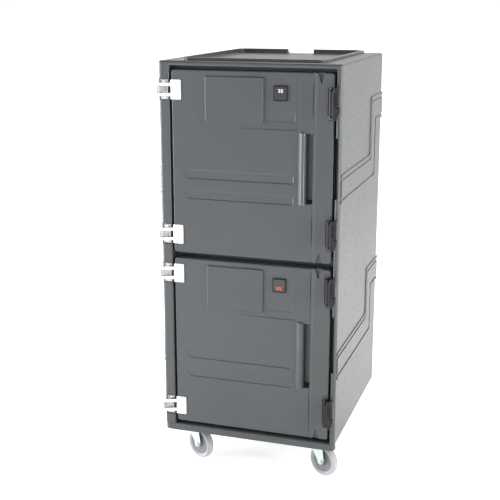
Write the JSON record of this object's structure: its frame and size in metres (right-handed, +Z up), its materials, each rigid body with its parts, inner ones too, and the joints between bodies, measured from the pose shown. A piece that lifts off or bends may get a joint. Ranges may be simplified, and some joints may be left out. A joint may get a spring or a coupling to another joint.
{
  "type": "insulated food carrier",
  "caption": "Tall insulated pan carrier on casters with stacked hinged doors, latches, temperature displays, pan rails and rear push handles.",
  "frame": {"origin": "on the floor, at the middle of the whole cart's width and depth", "axes": "+Z up, the doors face -Y, the hinges are on -X"},
  "size_m": [0.72, 0.85, 1.646],
  "materials": {
    "charcoal_polyethylene": "fine pebbled rotomoulded polyethylene",
    "foam_core": "rigid polyurethane foam",
    "liner_polyethylene": "smooth moulded",
    "rack_plastic": "moulded",
    "gasket_rubber": "soft matte",
    "stainless_steel": "brushed",
    "black_nylon": "satin moulded nylon",
    "display_plastic": "satin",
    "display_window": "clear dark window",
    "module_plastic": "moulded",
    "aluminium": "extruded",
    "zinc_steel": "bright zinc plate",
    "wheel_tread": "grey non-marking tread"
  },
  "bodies": {
    "cabinet": {"cabinet_shell": "charcoal_polyethylene", "cabinet_foam": "foam_core", "upper_liner": "liner_polyethylene", "upper_left_rack": "rack_plastic", "upper_right_rack": "rack_plastic", "upper_top_hinge_bracket": "stainless_steel", "upper_top_latch_keeper": "black_nylon", "upper_bottom_hinge_bracket": "stainless_steel", "upper_bottom_latch_keeper": "black_nylon", "lower_liner": "liner_polyethylene", "lower_left_rack": "rack_plastic", "lower_right_rack": "rack_plastic", "lower_top_hinge_bracket": "stainless_steel", "lower_top_latch_keeper": "black_nylon", "lower_bottom_hinge_bracket": "stainless_steel", "lower_bottom_latch_keeper": "black_nylon", "cold_module_housing": "module_plastic", "cold_module_heat_sink": "aluminium", "hot_module_housing": "module_plastic", "hot_module_heater": "stainless_steel", "power_inlet": "black_nylon", "left_rear_handle": "charcoal_polyethylene", "right_rear_handle": "charcoal_polyethylene", "front_left_caster_plate": "zinc_steel", "rear_left_caster_fork": "zinc_steel", "front_right_caster_plate": "zinc_steel", "rear_right_caster_fork": "zinc_steel"},
    "upper_door": {"upper_door_shell": "charcoal_polyethylene", "upper_door_foam": "foam_core", "upper_door_gasket": "gasket_rubber", "upper_display_housing": "display_plastic", "upper_display_lens": "display_window", "upper_top_hinge_leaf": "stainless_steel", "upper_top_latch_base": "black_nylon", "upper_bottom_hinge_leaf": "stainless_steel", "upper_bottom_latch_base": "black_nylon"},
    "upper_top_latch": {"upper_top_latch_lever": "black_nylon"},
    "upper_bottom_latch": {"upper_bottom_latch_lever": "black_nylon"},
    "lower_door": {"lower_door_shell": "charcoal_polyethylene", "lower_door_foam": "foam_core", "lower_door_gasket": "gasket_rubber", "lower_display_housing": "display_plastic", "lower_display_lens": "display_window", "lower_top_hinge_leaf": "stainless_steel", "lower_top_latch_base": "black_nylon", "lower_bottom_hinge_leaf": "stainless_steel", "lower_bottom_latch_base": "black_nylon"},
    "lower_top_latch": {"lower_top_latch_lever": "black_nylon"},
    "lower_bottom_latch": {"lower_bottom_latch_lever": "black_nylon"},
    "cold_fan": {"cold_module_fan": "black_nylon"},
    "hot_fan": {"hot_module_fan": "black_nylon"},
    "front_left_caster": {"front_left_caster_fork": "zinc_steel"},
    "front_left_brake": {"front_left_brake_pedal": "zinc_steel"},
    "front_left_wheel_turning": {"front_left_wheel": "wheel_tread"},
    "rear_left_wheel_turning": {"rear_left_wheel": "wheel_tread"},
    "front_right_caster": {"front_right_caster_fork": "zinc_steel"},
    "front_right_brake": {"front_right_brake_pedal": "zinc_steel"},
    "front_right_wheel_turning": {"front_right_wheel": "wheel_tread"},
    "rear_right_wheel_turning": {"rear_right_wheel": "wheel_tread"}
  },
  "joints": [
    {"name": "upper_door_swing", "type": "hinge", "parent": "cabinet", "child": "upper_door", "pos_m": [-0.353, -0.404, 1.24915], "axis": [0, 0, -1], "range_deg": [0, 265]},
    {"name": "upper_top_latch_turn", "type": "hinge", "parent": "upper_door", "child": "upper_top_latch", "pos_m": [0.319, -0.404, 1.496], "axis": [0, 0, -1], "range_deg": [0, 110]},
    {"name": "upper_bottom_latch_turn", "type": "hinge", "parent": "upper_door", "child": "upper_bottom_latch", "pos_m": [0.319, -0.404, 1.0113], "axis": [0, 0, -1], "range_deg": [0, 110]},
    {"name": "lower_door_swing", "type": "hinge", "parent": "cabinet", "child": "lower_door", "pos_m": [-0.353, -0.404, 0.5273], "axis": [0, 0, -1], "range_deg": [0, 265]},
    {"name": "lower_top_latch_turn", "type": "hinge", "parent": "lower_door", "child": "lower_top_latch", "pos_m": [0.319, -0.404, 0.7893], "axis": [0, 0, -1], "range_deg": [0, 110]},
    {"name": "lower_bottom_latch_turn", "type": "hinge", "parent": "lower_door", "child": "lower_bottom_latch", "pos_m": [0.319, -0.404, 0.2993], "axis": [0, 0, -1], "range_deg": [0, 110]},
    {"name": "cold_fan_spin", "type": "hinge", "parent": "cabinet", "child": "cold_fan", "pos_m": [0, 0.4, 1.401], "axis": [0, 1, 0], "continuous": true},
    {"name": "hot_fan_spin", "type": "hinge", "parent": "cabinet", "child": "hot_fan", "pos_m": [0, 0.4, 0.6713], "axis": [0, 1, 0], "continuous": true},
    {"name": "front_left_caster_swivel", "type": "hinge", "parent": "cabinet", "child": "front_left_caster", "pos_m": [-0.263, -0.301, 0.15], "axis": [0, 0, 1], "continuous": true},
    {"name": "front_left_wheel_roll", "type": "hinge", "parent": "front_left_caster", "child": "front_left_wheel_turning", "pos_m": [-0.22592, -0.32072, 0.0635], "axis": [0.4695, 0.8829, 0], "continuous": true},
    {"name": "front_left_brake_press", "type": "hinge", "parent": "front_left_caster", "child": "front_left_brake", "pos_m": [-0.23298, -0.31696, 0.138], "axis": [0.4695, 0.8829, 0], "range_deg": [0, 5]},
    {"name": "rear_left_wheel_roll", "type": "hinge", "parent": "cabinet", "child": "rear_left_wheel_turning", "pos_m": [-0.25, 0.286, 0.0635], "axis": [1, 0, 0], "continuous": true},
    {"name": "front_right_caster_swivel", "type": "hinge", "parent": "cabinet", "child": "front_right_caster", "pos_m": [0.263, -0.301, 0.15], "axis": [0, 0, 1], "continuous": true},
    {"name": "front_right_wheel_roll", "type": "hinge", "parent": "front_right_caster", "child": "front_right_wheel_turning", "pos_m": [0.30008, -0.32072, 0.0635], "axis": [0.4695, 0.8829, 0], "continuous": true},
    {"name": "front_right_brake_press", "type": "hinge", "parent": "front_right_caster", "child": "front_right_brake", "pos_m": [0.29302, -0.31696, 0.138], "axis": [0.4695, 0.8829, 0], "range_deg": [0, 5]},
    {"name": "rear_right_wheel_roll", "type": "hinge", "parent": "cabinet", "child": "rear_right_wheel_turning", "pos_m": [0.25, 0.286, 0.0635], "axis": [1, 0, 0], "continuous": true}
  ]
}
